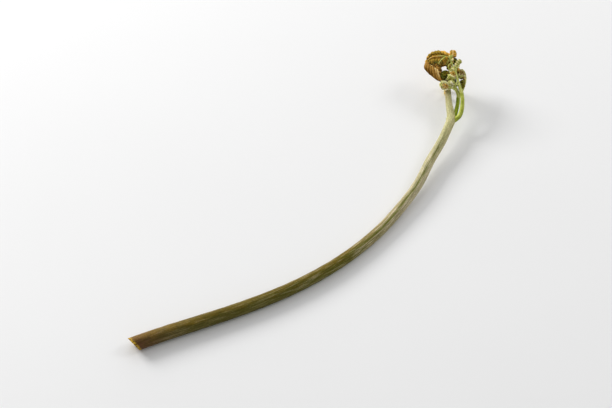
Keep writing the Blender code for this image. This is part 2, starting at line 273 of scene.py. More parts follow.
# %% [markdown]
# ## Colours and nodes
# The colours below are written as sRGB hex, the way that colour pickers show them, while Blender's
# sockets want linear light. One function turns the one into the other. Another adds a node with its
# settings and links, so that each material can be read from top to bottom. A socket goes by its name,
# or by its number where several share one: a map range reads from 1 to 2 and gives 3 to 4, which are
# 0 to 1 if unset, and a mix blends the colours 6 and 7 by the share 0.

# %% Colours and nodes
def linear(hex_colour):
    """An sRGB hex colour as linear red, green and blue: (c + 0.055) / 1.055 to the power of 2.4, or
    c / 12.92 where c is very dark."""
    srgb = np.array([int(hex_colour[k:k + 2], 16) for k in (1, 3, 5)]) / 255.0
    return (*np.where(srgb > 0.04045, ((srgb + 0.055) / 1.055) ** 2.4, srgb / 12.92).tolist(), 1.0)


def add(tree, kind, sockets, stops=(), out=0, **settings):
    """Adds a node, gives its sockets values or links, fills its colour ramp if it has one, and
    returns one of its outputs."""
    node = tree.nodes.new("ShaderNode" + kind)
    for name, value in settings.items():
        setattr(node, name, value)
    for key, value in sockets.items():
        if isinstance(value, bpy.types.NodeSocket):
            tree.links.new(value, node.inputs[key])
        else:
            node.inputs[key].default_value = value
    if stops:
        elements = node.color_ramp.elements
        while len(elements) < len(stops):
            elements.new(1.0)
        for element, (position, colour) in zip(elements, stops):
            element.position = position
            element.color = linear(colour) if isinstance(colour, str) else (colour, colour, colour, 1.0)
    return node.outputs[out]


def new_material(name, **shader_sockets):
    """A Principled material with the given values on the shader's own sockets."""
    material = bpy.data.materials.new(name)
    material.use_nodes = True
    shader = material.node_tree.nodes["Principled BSDF"]
    for key, value in shader_sockets.items():
        shader.inputs[key.replace("_", " ")].default_value = value
    return material, material.node_tree, shader


def place_and_look(tree):
    """What each corner carries: its straightened place, its look, and the three shares of the look."""
    place = add(tree, "Attribute", {}, out="Vector", attribute_name="place")
    look = add(tree, "Attribute", {}, out="Vector", attribute_name="look")
    return place, look, add(tree, "SeparateXYZ", {0: look}).node.outputs


def finish_surface(tree, shader, colour, relief, strength, depth, shading=None):
    """Links the colour to the shader, multiplied by a shading if there is one, and turns the relief
    into a bump of the given strength and depth."""
    if shading:
        colour = add(tree, "Mix", {0: 1.0, 6: colour, 7: shading}, out=2, data_type="RGBA",
                     blend_type="MULTIPLY")
    tree.links.new(colour, shader.inputs["Base Color"])
    bump = add(tree, "Bump", {"Height": relief, "Strength": strength, "Distance": depth})
    tree.links.new(bump, shader.inputs["Normal"])


# %% [markdown]
# ## The stipe's skin
# A bracken stipe is green inside a thin waxy skin, and purple brown towards the ground. The side
# towards the lamp is ochre and the other side greener: partly the skin's own colour, partly painted
# light and shade. Pale streaks of cork run along its upper part, with a dark green groove between
# them. An image could hold all that, but it would stretch over the bends. Noise that is read at the
# straightened place stays true to size: it is drawn out twenty times along the stem, which makes
# streaks half a millimetre wide. The look shares here are how far up the shoot a point is, how far
# round towards its shaded side, and how deep in the groove.

# %% Stipe skin material
def stipe_skin_material():
    """Waxy plant skin: a satin surface, coloured by height, and by side as painted light and shade,
    with cork streaks and mottling.
    """
    material, tree, shader = new_material(
        "stipe_epidermis", Roughness=0.5, IOR=1.45, Specular_IOR_Level=0.14, Subsurface_Weight=0.04,
        Subsurface_Scale=0.001)
    place, _, (height, shade, groove) = place_and_look(tree)
    drawn_out = add(tree, "VectorMath", {0: place, 1: (110.0, 2100.0, 2100.0)}, operation="MULTIPLY")
    streaks = add(tree, "TexNoise", {"Vector": drawn_out, "Scale": 1.0, "Detail": 3.0, "Roughness": 0.6})
    widened = add(tree, "VectorMath", {0: place, 1: (160.0, 420.0, 420.0)}, operation="MULTIPLY")
    patches = add(tree, "TexNoise", {"Vector": widened, "Scale": 1.0})
    mottle = add(tree, "TexNoise", {"Vector": place, "Scale": 1500.0, "Detail": 3.0, "Roughness": 0.65})

    # Painted light and shade: a lit ramp and a shaded ramp, mixed by how far round towards the shaded side
    # a point is.
    lit = add(tree, "ValToRGB", {0: height}, [
        (0.0, "#80622c"), (0.05, "#745c1e"), (0.13, "#665410"), (0.32, "#64540a"), (0.52, "#6c5a0e"),
        (0.64, "#928452"), (0.76, "#aca278"), (0.9, "#b6b084"), (1.0, "#b8b47e")])
    shaded = add(tree, "ValToRGB", {0: height}, [
        (0.0, "#5c4020"), (0.06, "#584a1e"), (0.13, "#544e18"), (0.32, "#565214"), (0.52, "#625e1a"),
        (0.64, "#9a9064"), (0.76, "#b0a682"), (0.9, "#bab280"), (1.0, "#bab47e")])
    wander = add(tree, "Math", {0: patches, 1: -0.5}, operation="ADD")
    edge = add(tree, "Math", {0: wander, 1: 0.9, 2: shade}, operation="MULTIPLY_ADD")
    side = add(tree, "MapRange", {0: edge, 1: 0.2, 2: 0.8}, interpolation_type="SMOOTHSTEP")
    colour = add(tree, "Mix", {0: side, 6: lit, 7: shaded}, out=2, data_type="RGBA")

    corky = add(tree, "ValToRGB", {0: height}, [
        (0.0, 0.1), (0.3, 0.1), (0.5, 0.25), (0.65, 0.7), (0.85, 0.7), (1.0, 0.3)])
    cork_streaks = add(tree, "MapRange", {0: streaks, 1: 0.5, 2: 0.62})
    green_streaks = add(tree, "MapRange", {0: streaks, 1: 0.75, 2: 0.52, 4: 0.95})
    near_foot = add(tree, "MapRange", {0: height, 1: 0.07, 2: 0.0, 4: 0.8})
    foot_streaks = add(tree, "MapRange", {0: streaks, 1: 0.45, 2: 0.62})
    at_cut = add(tree, "MapRange", {0: height, 1: 0.0075, 2: 0.003})
    torn_spots = add(tree, "MapRange", {0: mottle, 1: 0.42, 2: 0.5})
    past_fork = add(tree, "MapRange", {0: height, 1: 1.04, 2: 1.1})
    lit_side = add(tree, "MapRange", {0: edge, 1: 0.4, 2: 0.1})
    # Layers over the colour. Past the fork, an orange-brown tint on the lit side is partly the rachis's own
    # colour, partly painted rim light.
    for where, marks, over in (
            (corky, cork_streaks, "#c6baa0"), (green_streaks, groove, "#61660f"),
            (near_foot, foot_streaks, "#542818"), (at_cut, torn_spots, "#b8952a"),
            (past_fork, lit_side, "#8f6a34")):
        share = add(tree, "Math", {0: where, 1: marks}, operation="MULTIPLY")
        colour = add(tree, "Mix", {0: share, 6: colour, 7: linear(over)}, out=2, data_type="RGBA")

    freckles = add(tree, "MapRange", {0: mottle, 1: 0.3, 2: 0.7, 3: 0.74, 4: 1.26})
    lines = add(tree, "MapRange", {0: streaks, 1: 0.35, 2: 0.65, 3: 0.76, 4: 1.24})
    shading = add(tree, "Math", {0: freckles, 1: lines}, operation="MULTIPLY")
    relief = add(tree, "Math", {0: streaks, 1: mottle}, operation="ADD")
    finish_surface(tree, shader, colour, relief, 0.5, 0.12 * MM, shading)
    return material


# %% [markdown]
# ## The cut
# The knife leaves a slanting face. Under the dark skin lies a ring of brown fibre, then the pale
# yellow pith, with the darker strands that carry water through it. A flat disc with a picture of
# that would do from afar. Here the rings of the stipe simply go on over the edge and in to the
# middle, so the face is part of the same closed skin, and only the material changes.

# %% Cut face material
STRAND_SPACING = 0.9 * MM


def cut_pith_material():
    """Wet pith: soft and slightly shiny, yellow, browner at the rim, with dark strands as spots."""
    material, tree, shader = new_material("cut_pith", Roughness=0.35, IOR=1.4, Subsurface_Weight=0.1,
                                          Subsurface_Scale=0.001)
    place, _, (_, _, rim) = place_and_look(tree)
    flat = add(tree, "VectorMath", {0: place, 1: (0.0, 1.0, 1.0)}, operation="MULTIPLY")
    strands = add(tree, "TexVoronoi", {"Vector": flat, "Scale": 1.0 / STRAND_SPACING}, out="Distance")
    grain = add(tree, "TexNoise", {"Vector": place, "Scale": 2600.0})
    pith = add(tree, "ValToRGB", {0: rim}, [
        (0.0, "#b89a3a"), (0.55, "#a98424"), (0.8, "#7c5a1c"), (1.0, "#4a2a18")])
    dark = add(tree, "MapRange", {0: strands, 1: 0.16, 2: 0.3, 3: 1.0, 4: 0.0})
    spotted = add(tree, "Mix", {0: dark, 6: pith, 7: linear("#5a3410")}, out=2, data_type="RGBA")
    shading = add(tree, "MapRange", {0: grain, 1: 0.3, 2: 0.7, 3: 0.7, 4: 1.2})
    finish_surface(tree, shader, spotted, grain, 0.6, 0.15 * MM, shading)
    return material


# %% [markdown]
# ## The stipe's shape
# The stipe lies in one long bend. Its heading is a cubic of the share of its length, which gives a
# bend that is tight in one place and slack in another with four numbers. It tapers, is pressed a
# little flat where it lies, and rises towards the fork. To be more than a pipe it gets long uneven
# ridges, a groove along its upper side, shallow dents, and a small scar on its left at the fork.

# %% Stipe shape
STIPE_LENGTH = 206.6 * MM
STIPE_HEADING = (-24.7, -55.85, 240.46, -142.93)
FOOT_AT = (-113.0 * MM, 20.91 * MM)
FOOT_RADIUS = 3.35 * MM
FORK_RADIUS = 2.15 * MM
RACHIS_RADIUS = 1.42 * MM
PRESSED_FLAT = 0.22 * MM
LIFT_FROM = 0.6
LIFT_POWER = 1.6
FORK_LIFT = 5.1 * MM
SWAY = 0.5 * MM
SWAY_AT = 0.86
SWAY_WAVE = 0.2
SWAY_REACH = 0.11
SWELLING = 0.1 * MM
SWELLING_REACH = 4.5 * MM
AXIS_STEPS = 820
HEAD_HEADING = np.radians(40.0)
HEAD_RISE = np.radians(15.0)
MAIN_RACHIS = ((-0.4, 4.1, 0), (-0.9, 8.7, 0), (-1.1, 13.2, 0), (-1.1, 17.3, 0), (-1.0, 19.7, 0))


def stipe_axis():
    """The middle line and its radii. It steps in the direction of the heading, a cubic of the share
    of its length, and its height is the radius less the flat, plus a power of the share past
    LIFT_FROM."""
    t = np.linspace(0.0, 1.0, AXIS_STEPS + 1)
    heading = np.radians(np.polyval(STIPE_HEADING[::-1], t))
    step = STIPE_LENGTH / AXIS_STEPS
    x = FOOT_AT[0] + np.concatenate([[0.0], np.cumsum(np.cos(heading[1:]) * step)])
    y = FOOT_AT[1] + np.concatenate([[0.0], np.cumsum(np.sin(heading[1:]) * step)])
    radii = FOOT_RADIUS - (FOOT_RADIUS - FORK_RADIUS) * t
    rise = np.clip((t - LIFT_FROM) / (1 - LIFT_FROM), 0.0, 1.0) ** LIFT_POWER
    past = t - SWAY_AT
    sway = SWAY * np.cos(2 * np.pi * past / SWAY_WAVE) * bell(past, SWAY_REACH)
    x, y = x - sway * np.sin(heading), y + sway * np.cos(heading)
    return np.column_stack([x, y, radii - PRESSED_FLAT + FORK_LIFT * rise]), radii


fork = stipe_axis()[0][-1]
across = np.array([np.sin(HEAD_HEADING), -np.cos(HEAD_HEADING), 0.0])
along_head = np.array([np.cos(HEAD_HEADING) * np.cos(HEAD_RISE),
                       np.sin(HEAD_HEADING) * np.cos(HEAD_RISE), np.sin(HEAD_RISE)])
out_of_head = np.cross(across, along_head)


def head_places(points):
    """Points (u, v, w) of the head's own frame, in millimetres, as places: the fork, plus u across,
    v along the head and w out of it."""
    return fork + MM * (np.array(points, float) @ np.array([across, along_head, out_of_head]))


print("the fork is at", np.round(fork / MM, 2).tolist(), "mm")

# %% Stipe mesh
STIPE_SIDES = 72
STIPE_RINGS = 640
RACHIS_RINGS = 70
CUT_RINGS = 14
CUT_BACK_PER_UP = 0.38
CUT_BACK_PER_LEFT = 0.30
CUT_FADES_OVER = 9.0 * MM
CUT_SUNK = 0.22 * MM
CUT_LUMPS = 0.8 * MM
CUT_ROUGHNESS = 0.25
RIDGE_WAVES = ((5, 0.4, 0.2), (8, 2.1, -0.35), (13, 4.0, 0.5), (21, 1.2, -0.8))
RIDGE_HEIGHT = 0.014
DRIFT = 2.2
DRIFT_WAVE = 31.0 * MM
DENT_DEPTH = 0.03 * MM
DENT_SIZES = (2.2 * MM, 0.9 * MM)
DENTS_DRAWN_OUT = (0.4, 1.0, 1.0)
GROOVE_TURN = np.radians(12.0)
GROOVE_SWAY = 0.12
GROOVE_SWAY_WAVE = 9.0 * MM
GROOVE_DEPTH = 0.1 * MM
GROOVE_HALF_WIDTH = 0.24
GROOVE_FROM, GROOVE_FADES_IN = 0.45, 0.2
GROOVE_TO, GROOVE_FADES_OUT = 0.98, 0.08
SCAR_TURN = np.radians(270.0)
SCAR_BELOW_FORK = 0.4 * MM
SCAR_HEIGHT = 0.55 * MM
SCAR_REACH = 0.7 * MM
SHADE_FROM_TURN = np.radians(18.0)
TIP_ROUNDING = 0.006
UP = (0.0, 0.0, 1.0)


def stipe_path():
    """Points and radii from the foot to the tip of the main rachis, with the fork's swelling."""
    axis, axis_radii = stipe_axis()
    shares = np.linspace(0.0, 1.0, AXIS_STEPS + 1)
    wanted = np.linspace(0.0, 1.0, STIPE_RINGS)
    points = at_shares(axis, shares, wanted)
    radii = np.interp(wanted, shares, axis_radii)
    above = smooth_route(np.vstack([axis[-1:], head_places(MAIN_RACHIS)]), RACHIS_RINGS + 1)[1:]
    to_go = np.linspace(1.0, 0.0, RACHIS_RINGS + 1)[1:]
    thinning = RACHIS_RADIUS + (FORK_RADIUS - RACHIS_RADIUS) * to_go**2
    points, radii = np.vstack([points, above]), np.concatenate([radii, thinning])
    from_fork = distances(points) - distances(points)[STIPE_RINGS - 1]
    return points, radii + SWELLING * bell(from_fork, SWELLING_REACH), from_fork


def stipe_skin():
    """The stipe as one closed skin. Its radius is the path's radius, times one plus a few waves round
    it that drift along it, less a groove and dents, plus the scar. Then each corner near the foot
    slides along the stem in proportion to how far up and left it is, and rings go in over the cut."""
    points, radii, from_fork = stipe_path()
    turn = turns(STIPE_SIDES)
    run = distances(points)
    height = run / STIPE_LENGTH
    drift = DRIFT * np.sin(run / DRIFT_WAVE)[:, None]
    ridges = sum(np.cos(waves * turn + phase + drift * speed) / waves**0.5
                 for waves, phase, speed in RIDGE_WAVES)
    groove_turn = GROOVE_TURN + GROOVE_SWAY * np.sin(run / GROOVE_SWAY_WAVE)[:, None]
    groove = bell(turn_from(groove_turn, turn), GROOVE_HALF_WIDTH)
    grooved = smoothstep((height - GROOVE_FROM) / GROOVE_FADES_IN)
    grooved = grooved * smoothstep((GROOVE_TO - height) / GROOVE_FADES_OUT)
    groove_share = groove * grooved[:, None]
    straight = np.stack([np.broadcast_to(run[:, None], ridges.shape), radii[:, None] * np.cos(turn),
                         radii[:, None] * np.sin(turn)], axis=-1)
    dents = ripples(straight * DENTS_DRAWN_OUT, DENT_SIZES[0], seed=3)
    dents = dents + 0.5 * ripples(straight, DENT_SIZES[1], seed=4)
    from_scar = np.hypot(from_fork[:, None] + SCAR_BELOW_FORK, FORK_RADIUS * turn_from(SCAR_TURN, turn))
    radius = radii[:, None] * (1.0 + RIDGE_HEIGHT * ridges) + DENT_DEPTH * dents
    radius = radius - GROOVE_DEPTH * groove_share + SCAR_HEIGHT * bell(from_scar, SCAR_REACH)
    radius = radius * rounded_ends(run / run[-1], 0.0, TIP_ROUNDING)[:, None]
    shade = 0.5 + 0.5 * np.sin(turn - SHADE_FROM_TURN)
    skin = swept(points, UP, radius, (height[:, None], shade, groove_share))

    forwards, _, _ = carried_frame(points, UP)
    back = CUT_BACK_PER_UP * np.cos(turn) - CUT_BACK_PER_LEFT * np.sin(turn)
    slide = -back * FOOT_RADIUS * np.clip(1.0 - run / CUT_FADES_OVER, 0.0, 1.0)[:, None]
    corners = skin["corners"] + slide[..., None] * forwards[:, None]

    inwards = np.linspace(0.04, 1.0, CUT_RINGS, endpoint=False)[:, None, None]
    middle, rim = corners[0].mean(axis=0), corners[0]
    face = middle + inwards * (rim - middle)
    rough = ripples(face, CUT_LUMPS, seed=5) * CUT_ROUGHNESS
    sunk = CUT_SUNK * (1.0 - inwards[..., 0] ** 6) * (0.8 + rough)
    face = face + sunk[..., None] * forwards[0]
    face_place = inwards * skin["place"][:1] * (0.0, 1.0, 1.0)
    face_look = np.broadcast_to(inwards * UP, face.shape)
    skin["corners"] = np.vstack([face, corners])
    skin["corners"][..., 2] = np.maximum(skin["corners"][..., 2], 0.0)
    skin["place"] = np.vstack([face_place, skin["place"]])
    skin["look"] = np.vstack([face_look, skin["look"]])
    cut_squares = np.arange(len(skin["corners"]) - 1) < CUT_RINGS
    skin["kind"] = np.repeat(np.where(cut_squares, 1, 0), STIPE_SIDES)
    return skin


stipe = stipe_skin()
sew("stipe_skin", [stipe], [stipe_skin_material(), cut_pith_material()], "stipe")

# %% [markdown]
# ## The green stalks
# Two side stalks leave the fork and run up to their croziers. They are young and soft, so their skin
# is bright green and shows fine pale lines where the fibres lie. They could be cut off where they
# meet the stipe, but a stalk that runs on inside it has no gap at any angle, and a flare at its foot
# makes the joint look grown.

# %% Stalk skin material
LINE_SPACING = 0.35 * MM


def stalk_skin_material(name, pale, mid, deep):
    """Young plant skin: smooth and soft, in three greens that run along it as fine lines, and darker
    towards one side as painted shade.
    """
    material, tree, shader = new_material(name, Roughness=0.42, IOR=1.45, Specular_IOR_Level=0.25,
                                          Subsurface_Weight=0.1, Subsurface_Scale=0.0015)
    shader.inputs["Subsurface Radius"].default_value = (0.7, 1.0, 0.25)
    place, _, (_, shade, _) = place_and_look(tree)
    drawn_out = add(tree, "VectorMath", {0: place, 1: (120.0, 1.0 / LINE_SPACING, 1.0 / LINE_SPACING)},
                    operation="MULTIPLY")
    lines = add(tree, "TexNoise", {"Vector": drawn_out, "Scale": 1.0})
    blotches = add(tree, "TexNoise", {"Vector": place, "Scale": 420.0})
    mixed = add(tree, "Math", {0: lines, 1: blotches}, operation="ADD")
    # Painted shade: the tone shifts towards the deep green on one side.
    tone = add(tree, "Math", {0: shade, 1: 0.25, 2: mixed}, operation="MULTIPLY_ADD")
    spread = add(tree, "MapRange", {0: tone, 1: 0.85, 2: 1.45})
    colour = add(tree, "ValToRGB", {0: spread}, [(0.0, pale), (0.5, mid), (1.0, deep)])
    finish_surface(tree, shader, colour, lines, 0.4, 0.1 * MM)
    return material


# %% Stalks
UPPER_STALK = ((-0.4, -1.6, 0.1), (1.8, -0.4, 0.5), (4.0, 1.5, 1.0), (5.3, 5.5, 1.6), (5.7, 10.3, 2.2),
               (5.3, 13.9, 2.8))
LOWER_STALK = ((0.3, -0.6, -0.6), (1.7, 2.4, -1.2), (2.8, 6.1, -1.6), (3.7, 10.0, -1.6),
               (4.0, 13.4, -1.5))
UPPER_STALK_RADII = (1.25, 0.9)
LOWER_STALK_RADII = (1.15, 0.95)
STALK_RINGS = 120
STALK_SIDES = 36
STALK_FLARE = 0.12
STALK_FLARE_REACH = 0.16
FURROW_DEPTH = 0.1
FURROW_TURN = 0.3
FURROW_HALF_WIDTH = 0.35


def stalk_skin(route, radii, seed):
    """A side stalk: its radius falls evenly, with a flare at the foot, soft ridges and a furrow."""
    points = smooth_route(head_places(route), STALK_RINGS)
    share = np.linspace(0.0, 1.0, STALK_RINGS)[:, None]
    turn = turns(STALK_SIDES)
    taper = radii[0] + (radii[1] - radii[0]) * share
    base = MM * taper * (1 + STALK_FLARE * bell(share, STALK_FLARE_REACH))
    ridges = 0.03 * np.cos(5 * turn + 3 * share) + 0.02 * np.cos(9 * turn - 5 * share + seed)
    furrow = FURROW_DEPTH * bell(turn_from(FURROW_TURN, turn), FURROW_HALF_WIDTH)
    radius = base * (1.0 + ridges - furrow) * rounded_ends(share, 0.03, 0.04)
    # The share of painted shade, highest on one side of the stalk.
    shade = 0.5 + 0.5 * np.sin(turn)
    return swept(points, out_of_head, radius, (share, shade, 0.0 * shade))


bright_green = stalk_skin_material("bright_green_stalk_skin", "#c9cf6a", "#a9b13c", "#7c8a1e")
grass_green = stalk_skin_material("grass_green_stalk_skin", "#b4c03c", "#93a41c", "#6c8010")
upper_stalk = stalk_skin(UPPER_STALK, UPPER_STALK_RADII, seed=1)
lower_stalk = stalk_skin(LOWER_STALK, LOWER_STALK_RADII, seed=2)
sew("upper_stalk_skin", [upper_stalk], [bright_green], "upper_pinna_stalk")
sew("lower_stalk_skin", [lower_stalk], [grass_green], "lower_pinna_stalk")

# %% [markdown]
# ## The leaflets' finish
# The rolled leaflets are felted with fine scales, so they look matt, like suede. Their backs run from
# cream and olive to gold, rust and brown, and their flanks and the clefts between them are darkened
# as painted shade. The look shares are how far along the leaflet a point is, how deep in a cleft,
# and a number of the leaflet's own, so that no two have the same colour.

# %% Leaflet material
def leaflet_material(name, back, flank_shade, cleft, tip, foot):
    """Felted young leaf: matt all over. The back runs from the foot's colour to the tip's,
    the flanks darken into the cleft as painted shade, and a fine grain breaks up both."""
    material, tree, shader = new_material(name, Roughness=0.8, IOR=1.4, Specular_IOR_Level=0.06,
                                          Subsurface_Weight=0.05, Subsurface_Scale=0.001)
    place, look, (length, depth, own) = place_and_look(tree)
    own_place = add(tree, "VectorMath", {0: look, 1: (0.0, 0.0, 37.0)}, operation="MULTIPLY")
    shifted = add(tree, "VectorMath", {0: place, 1: own_place}, operation="ADD")
    grain = add(tree, "TexNoise", {"Vector": shifted, "Scale": 2400.0, "Detail": 3.0, "Roughness": 0.6})
    cloud = add(tree, "TexNoise", {"Vector": shifted, "Scale": 700.0})
    own_shift = add(tree, "Math", {0: own, 1: 0.8, 2: -0.4}, operation="MULTIPLY_ADD")
    where = add(tree, "Math", {0: length, 1: own_shift}, operation="ADD")
    colour = add(tree, "ValToRGB", {0: where}, [(0.0, foot), (0.22, back), (0.7, back), (1.0, tip)])
    # Painted shade: the flank and cleft colours come in with how deep in a cleft a point is.
    deep = add(tree, "Math", {0: cloud, 1: 0.5, 2: depth}, operation="MULTIPLY_ADD")
    for begins, ends, darker in ((0.38, 0.68, flank_shade), (0.62, 0.95, cleft)):
        share = add(tree, "MapRange", {0: deep, 1: begins, 2: ends})
        colour = add(tree, "Mix", {0: share, 6: colour, 7: linear(darker)}, out=2, data_type="RGBA")
    speckles = add(tree, "MapRange", {0: grain, 1: 0.3, 2: 0.7, 3: 0.7, 4: 1.3})
    own_tone = add(tree, "Math", {0: own, 1: 0.44, 2: 0.78}, operation="MULTIPLY_ADD")
    shading = add(tree, "Math", {0: speckles, 1: own_tone}, operation="MULTIPLY")
    finish_surface(tree, shader, colour, grain, 0.7, 0.12 * MM, shading)
    return material


RUST, GOLDEN, PALE, CREAM, OLIVE, BROWN, CLEFT_SHADE_FELT = range(7)
RACHIS, RUST_RACHIS, TAN_RACHIS, DARK_RACHIS = range(7, 11)
# A leaflet finish is back, flank, cleft, tip and foot colours; the flank and cleft colours are painted
# shade.
crozier_finishes = [
    leaflet_material("rust_leaflet_felt", "#ae823c", "#7a560f", "#3c2804", "#dcbc7c", "#7c5618"),
    leaflet_material("golden_leaflet_felt", "#cda044", "#916c14", "#4e3806", "#cda046", "#a68a36"),
    leaflet_material("pale_leaflet_felt", "#dcd496", "#a59c42", "#5e5410", "#cf9832", "#b4b45c"),
    leaflet_material("cream_leaflet_felt", "#f2ecc4", "#c4ba70", "#7c7024", "#dcb858", "#d0cc8c"),
    leaflet_material("olive_leaflet_felt", "#6e6618", "#3c3a06", "#181802", "#8a6c20", "#5c5c18"),
    leaflet_material("brown_leaflet_felt", "#947020", "#5a4408", "#281c02", "#b08c46", "#8a7a30"),
    # The default body under the leaflets: brown felt, made darker as painted shade between the leaflets.
    leaflet_material("cleft_shade_felt", "#7a5612", "#523808", "#2a1c04", "#7a5214", "#4e4614"),
    stalk_skin_material("rachis_skin", "#d3d482", "#b2b650", "#848c26"),
    stalk_skin_material("rust_rachis_skin", "#b08a40", "#84601c", "#5c3e0a"),
    stalk_skin_material("tan_rachis_skin", "#ecc878", "#cca04c", "#a07428"),
    stalk_skin_material("dark_rachis_skin", "#7c8420", "#545c0e", "#363c06"),
]

# %% [markdown]
# ## A curl and its leaflets
# A crozier is a midrib that rolls up towards a heart, with leaflets in two rows that wrap round the
# inside of the roll. Each leaflet is itself a rolled-up leaf, so it is a plump ridge with a row of
# beads down each flank. Modelling one and copying it would give stiff copies. Here each leaflet is
# swept along its own path round the curl's body, so it bends with the curl and leans into the next.

# %% Curls
CURL_RINGS = 84
CURL_SIDES = 16
BODY_RINGS = 50
LEAFLET_RINGS = 30
LEAFLET_SIDES = 12
LEAFLET_FROM = np.radians(22.0)
LEAFLET_TO = np.radians(168.0)
BODY_AT_ENDS = 0.45
LEAFLET_AT_ENDS = 0.5
FIRST_PAIR_AT = 0.35
START_JITTER = 0.2
LEAFLET_SIZES = (0.82, 1.14)
RIB_FURROW_DEPTH = 0.16
RIB_FURROW_HALF_WIDTH = 0.4
BEADS = 5
BEAD_DEPTH = 0.09
BEAD_SLANT = 1.2
MIDRIB_HEIGHT = 0.1
MIDRIB_HALF_WIDTH = 0.3
leaf_random = np.random.default_rng(11)


def leaflet_skin(path, outwards, thickness, kind):
    """One rolled leaflet: the radius is its thickness, times a swelling along it, times one plus
    beads that stand out of both flanks and a fine midrib along its back."""
    share = np.linspace(0.0, 1.0, LEAFLET_RINGS)[:, None]
    turn = turns(LEAFLET_SIDES)
    plump = LEAFLET_AT_ENDS + (1 - LEAFLET_AT_ENDS) * np.sin(np.pi * (0.1 + 0.78 * share))
    wave = np.cos(2 * np.pi * BEADS * share + leaf_random.uniform(0, 6.28) + BEAD_SLANT * np.sin(turn))
    flanks = np.abs(np.sin(turn)) ** 1.5
    midrib = MIDRIB_HEIGHT * bell(turn_from(0.0, turn), MIDRIB_HALF_WIDTH)
    radius = thickness * plump * (1.0 + BEAD_DEPTH * wave * flanks + midrib)
    radius = radius * rounded_ends(share, 0.12, 0.2)
    # How deep in a cleft a corner is, on its inner side and in the bead valleys, which the material darkens
    # as painted shade.
    depth = 0.5 - 0.5 * np.cos(turn) + 0.22 * (0.5 - 0.5 * wave) * flanks
    return swept(path, outwards, radius, (share, np.clip(depth, 0, 1), leaf_random.uniform()), kind)


def curl_skins(route, heart, rachis=(0.35, 0.3), body=0.0, leafy_from=0.2, pairs=0, kind=PALE,
               lean=1.5, width=0.5, felt=CLEFT_SHADE_FELT, rib=RACHIS):
    """A curl: its midrib, the felted body on its inner side, and two rows of leaflets. The midrib
    faces away from the heart. A leaflet starts beside it and turns round the body's middle line by
    an angle that grows along it, while it leans forwards by a share of the step between pairs. The
    rachis and the body are radii in millimetres, and the width is a leaflet's share of the step."""
    points = smooth_route(head_places(route), CURL_RINGS)
    share = np.linspace(0.0, 1.0, CURL_RINGS)
    away = points - head_places([heart])[0]
    _, back, side = carried_frame(points, away)
    turn = turns(CURL_SIDES)
    taper = MM * np.linspace(rachis[0], rachis[1], CURL_RINGS) * rounded_ends(share, 0.01, 0.05)
    furrow = RIB_FURROW_DEPTH * bell(turn_from(0.0, turn), RIB_FURROW_HALF_WIDTH)
    ribbed = 1.0 + 0.05 * np.cos(6 * turn) - furrow
    # The middle share is painted shade on one side of the midrib.
    look = (share[:, None], 0.5 + 0.5 * np.sin(turn), 0.0)
    skins = [swept(points, away, taper[:, None] * ribbed, look, rib)]
    if not pairs:
        return skins

    leafy = np.clip((share - leafy_from) / (1 - leafy_from), 0.0, 1.0)
    radii = MM * body * (BODY_AT_ENDS + (1 - BODY_AT_ENDS) * np.sin(np.pi * leafy**0.8))
    centres = points - radii[:, None] * back
    on_body = np.linspace(leafy_from, 1.0, BODY_RINGS)
    body_radius = np.interp(on_body, share, radii) * rounded_ends(np.linspace(0, 1, BODY_RINGS), 0.08, 0.12)
    lumps = 1.0 + 0.06 * np.cos(3 * turn + 60 * on_body[:, None])
    # The body shows between the leaflets; its default finish is darkened as painted shade.
    skins.append(swept(at_shares(centres, share, on_body), at_shares(back, share, on_body),
                       0.97 * body_radius[:, None] * lumps, (0.5, 0.3, leaf_random.uniform()), felt))

    length = np.linalg.norm(np.diff(points[share >= leafy_from], axis=0), axis=1).sum()
    along = np.linspace(0.0, 1.0, LEAFLET_RINGS)
    wrap = LEAFLET_FROM + (LEAFLET_TO - LEAFLET_FROM) * along
    for i in range(pairs):
        for hand in (-1, 1):
            start = (i + FIRST_PAIR_AT + leaf_random.uniform(-START_JITTER, START_JITTER)) / pairs
            wanted = leafy_from + (1 - leafy_from) * np.minimum(start + lean / pairs * along**1.2, 1.0)
            outer = unit(at_shares(back, share, wanted))
            beside = unit(at_shares(side, share, wanted))
            outwards = np.cos(wrap)[:, None] * outer + hand * np.sin(wrap)[:, None] * beside
            around = np.interp(wanted, share, radii)[:, None] * outwards
            size = width * length / pairs * leaf_random.uniform(*LEAFLET_SIZES)
            skins.append(leaflet_skin(at_shares(centres, share, wanted) + around, outwards, size, kind))
    return skins


# %% [markdown]
# ## The three croziers
# The tip of the main rachis rolls up to the left, rusty brown, with a small dark curl at its base.
# The upper side stalk carries the golden dome over it and two upright tips. The lower one carries
# pale, hairy curls in front, a ring on the right, and one below that touches the table. Each curl is
# a list of points for its midrib, close to the one in the solids. More small curls fill the gaps,
# where the photograph shows some that are too small for a solid.

